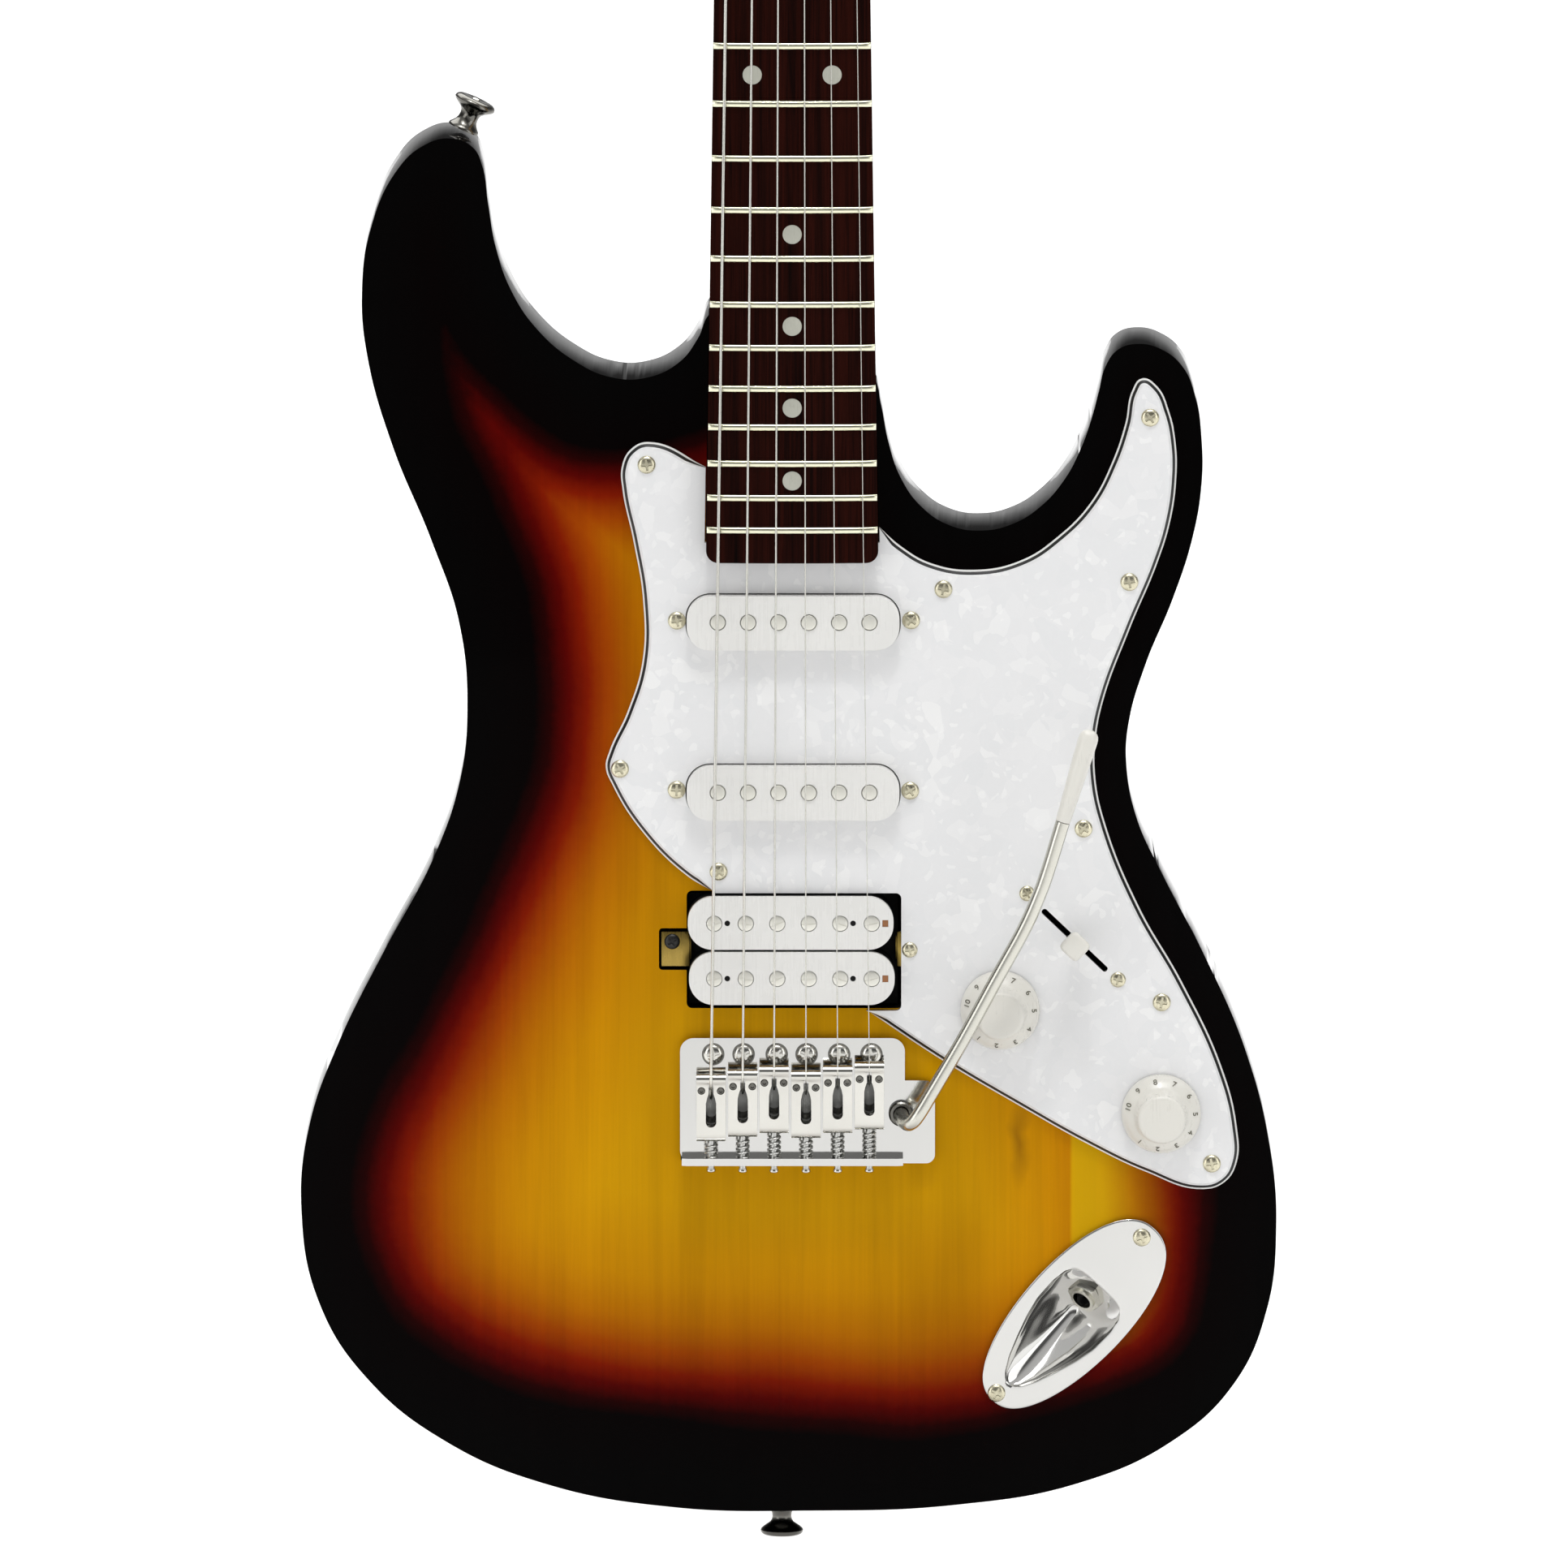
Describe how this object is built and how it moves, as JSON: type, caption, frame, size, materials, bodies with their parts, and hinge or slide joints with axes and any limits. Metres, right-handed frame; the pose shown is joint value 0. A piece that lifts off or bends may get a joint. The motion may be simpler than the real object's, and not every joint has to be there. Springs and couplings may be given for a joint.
{
  "type": "electric guitar",
  "caption": "Double-cutaway solid-body electric guitar with two single coils, a bridge humbucker, a spring-balanced vibrato bridge with arm, geared tuners, knobs and a blade selector.",
  "frame": {"origin": "on the centre line at the nut's bearing edge, level with the body's front face, where a hanger's yoke takes the neck behind the headstock", "axes": "+Z along the strings to the headstock, -Y out of the front face, +X to the treble side"},
  "size_m": [0.3238, 0.0798, 0.9987],
  "materials": {
    "sunburst_lacquer": "three-colour sunburst under gloss clear coat",
    "maple": "satin amber maple",
    "rosewood": "dark open-pored, oiled",
    "pearl_sheet": "white pearl three-ply sheet, bevelled edge",
    "cream_plastic": "aged white moulded plastic",
    "black_plastic": "black sheet",
    "chrome": "polished",
    "nickel": "warm nickel plate",
    "brass": "bare brass sheet",
    "steel": "plain steel",
    "bone": "polished bone-coloured",
    "black_nickel": "black plated"
  },
  "bodies": {
    "guitar": {"body": "sunburst_lacquer", "neck": "maple", "fingerboard": "rosewood", "nut": "bone", "neck_plate": "chrome", "back_cover": "black_plastic", "pickguard": "pearl_sheet", "neck_pickup": "cream_plastic", "middle_pickup": "cream_plastic", "humbucker_upper_coil": "cream_plastic", "humbucker_lower_coil": "cream_plastic", "humbucker_baseplate": "brass", "volume_pot": "nickel", "tone_pot": "nickel", "selector_switch": "nickel", "jack_plate": "chrome", "output_jack": "nickel", "spring_claw": "steel", "strap_button_upper": "black_nickel", "strap_button_end": "black_nickel", "tuner_housing_1": "nickel", "tuner_housing_2": "nickel", "tuner_housing_3": "nickel", "tuner_housing_4": "nickel", "tuner_housing_5": "nickel", "tuner_housing_6": "nickel", "string_1": "steel", "string_2": "steel", "string_3": "steel", "string_4": "steel", "string_5": "steel", "string_6": "steel", "tremolo_spring_1": "steel", "tremolo_spring_2": "steel", "tremolo_spring_3": "steel"},
    "bridge": {"bridge_plate": "chrome", "tremolo_block": "steel"},
    "arm": {"tremolo_arm": "chrome", "arm_tip": "cream_plastic"},
    "volume": {"volume_knob": "cream_plastic"},
    "tone": {"tone_knob": "cream_plastic"},
    "selector": {"selector_lever": "cream_plastic"},
    "saddle_1": {"saddle_1": "nickel"},
    "post_1": {"tuner_post_1": "nickel"},
    "button_1": {"tuner_button_1": "chrome"},
    "saddle_2": {"saddle_2": "nickel"},
    "post_2": {"tuner_post_2": "nickel"},
    "button_2": {"tuner_button_2": "chrome"},
    "saddle_3": {"saddle_3": "nickel"},
    "post_3": {"tuner_post_3": "nickel"},
    "button_3": {"tuner_button_3": "chrome"},
    "saddle_4": {"saddle_4": "nickel"},
    "post_4": {"tuner_post_4": "nickel"},
    "button_4": {"tuner_button_4": "chrome"},
    "saddle_5": {"saddle_5": "nickel"},
    "post_5": {"tuner_post_5": "nickel"},
    "button_5": {"tuner_button_5": "chrome"},
    "saddle_6": {"saddle_6": "nickel"},
    "post_6": {"tuner_post_6": "nickel"},
    "button_6": {"tuner_button_6": "chrome"}
  },
  "joints": [
    {"name": "tremolo_tilt", "type": "hinge", "parent": "guitar", "child": "bridge", "pos_m": [0, -0.0014, -0.6424], "axis": [-1, 0, 0], "range_deg": [0, 10], "stiffness_Nm_per_rad": 6, "springref_deg": -8.59, "deforming": ["tremolo_spring_1", "tremolo_spring_2", "tremolo_spring_3", "string_1", "string_2", "string_3", "string_4", "string_5", "string_6"]},
    {"name": "arm_swing", "type": "hinge", "parent": "bridge", "child": "arm", "pos_m": [0.0362, 0, -0.662], "axis": [0, -1, 0], "range_deg": [-150, 60]},
    {"name": "volume_turn", "type": "hinge", "parent": "guitar", "child": "volume", "pos_m": [0.069, -0.003, -0.6275], "axis": [0, -1, 0], "range_deg": [-66, 234]},
    {"name": "tone_turn", "type": "hinge", "parent": "guitar", "child": "tone", "pos_m": [0.1225, -0.003, -0.6622], "axis": [0, -1, 0], "range_deg": [-66, 234]},
    {"name": "selector_throw", "type": "hinge", "parent": "guitar", "child": "selector", "pos_m": [0.0937, 0.016, -0.6042], "axis": [0.6909, 0, 0.7229], "range_deg": [-28, 28]},
    {"name": "button_turn_1", "type": "hinge", "parent": "guitar", "child": "button_1", "pos_m": [-0.01927, 0.02, 0.04009], "axis": [-0.9675, 0, 0.253], "continuous": true},
    {"name": "button_turn_2", "type": "hinge", "parent": "guitar", "child": "button_2", "pos_m": [-0.01191, 0.02, 0.0661], "axis": [-0.9675, 0, 0.253], "continuous": true},
    {"name": "button_turn_3", "type": "hinge", "parent": "guitar", "child": "button_3", "pos_m": [-0.00482, 0.02, 0.09209], "axis": [-0.9675, 0, 0.253], "continuous": true},
    {"name": "button_turn_4", "type": "hinge", "parent": "guitar", "child": "button_4", "pos_m": [0.00199, 0.02, 0.1181], "axis": [-0.9675, 0, 0.253], "continuous": true},
    {"name": "button_turn_5", "type": "hinge", "parent": "guitar", "child": "button_5", "pos_m": [0.00849, 0.02, 0.1441], "axis": [-0.9675, 0, 0.253], "continuous": true},
    {"name": "button_turn_6", "type": "hinge", "parent": "guitar", "child": "button_6", "pos_m": [0.01472, 0.02, 0.17009], "axis": [-0.9675, 0, 0.253], "continuous": true},
    {"name": "post_turn_1", "type": "hinge", "parent": "guitar", "child": "post_1", "pos_m": [-0.02086, 0, 0.034], "axis": [0, -1, 0], "continuous": true},
    {"name": "post_turn_2", "type": "hinge", "parent": "guitar", "child": "post_2", "pos_m": [-0.0135, 0, 0.06], "axis": [0, -1, 0], "continuous": true},
    {"name": "post_turn_3", "type": "hinge", "parent": "guitar", "child": "post_3", "pos_m": [-0.00641, 0, 0.086], "axis": [0, -1, 0], "continuous": true},
    {"name": "post_turn_4", "type": "hinge", "parent": "guitar", "child": "post_4", "pos_m": [0.0004, 0, 0.112], "axis": [0, -1, 0], "continuous": true},
    {"name": "post_turn_5", "type": "hinge", "parent": "guitar", "child": "post_5", "pos_m": [0.00689, 0, 0.138], "axis": [0, -1, 0], "continuous": true},
    {"name": "post_turn_6", "type": "hinge", "parent": "guitar", "child": "post_6", "pos_m": [0.01313, 0, 0.164], "axis": [0, -1, 0], "continuous": true},
    {"name": "saddle_slide_1", "type": "slide", "parent": "bridge", "child": "saddle_1", "axis": [0, 0, 1], "range_m": [-0.0035, 0.0005], "deforming": ["string_1"]},
    {"name": "saddle_slide_2", "type": "slide", "parent": "bridge", "child": "saddle_2", "axis": [0, 0, 1], "range_m": [-0.0035, 0.0005], "deforming": ["string_2"]},
    {"name": "saddle_slide_3", "type": "slide", "parent": "bridge", "child": "saddle_3", "axis": [0, 0, 1], "range_m": [-0.0035, 0.0005], "deforming": ["string_3"]},
    {"name": "saddle_slide_4", "type": "slide", "parent": "bridge", "child": "saddle_4", "axis": [0, 0, 1], "range_m": [-0.0035, 0.0005], "deforming": ["string_4"]},
    {"name": "saddle_slide_5", "type": "slide", "parent": "bridge", "child": "saddle_5", "axis": [0, 0, 1], "range_m": [-0.0035, 0.0005], "deforming": ["string_5"]},
    {"name": "saddle_slide_6", "type": "slide", "parent": "bridge", "child": "saddle_6", "axis": [0, 0, 1], "range_m": [-0.0035, 0.0005], "deforming": ["string_6"]}
  ],
  "couplings": [
    {"joint": "post_turn_1", "follows": "button_turn_1", "ratio": 0.071429},
    {"joint": "post_turn_2", "follows": "button_turn_2", "ratio": 0.071429},
    {"joint": "post_turn_3", "follows": "button_turn_3", "ratio": 0.071429},
    {"joint": "post_turn_4", "follows": "button_turn_4", "ratio": 0.071429},
    {"joint": "post_turn_5", "follows": "button_turn_5", "ratio": 0.071429},
    {"joint": "post_turn_6", "follows": "button_turn_6", "ratio": 0.071429}
  ]
}
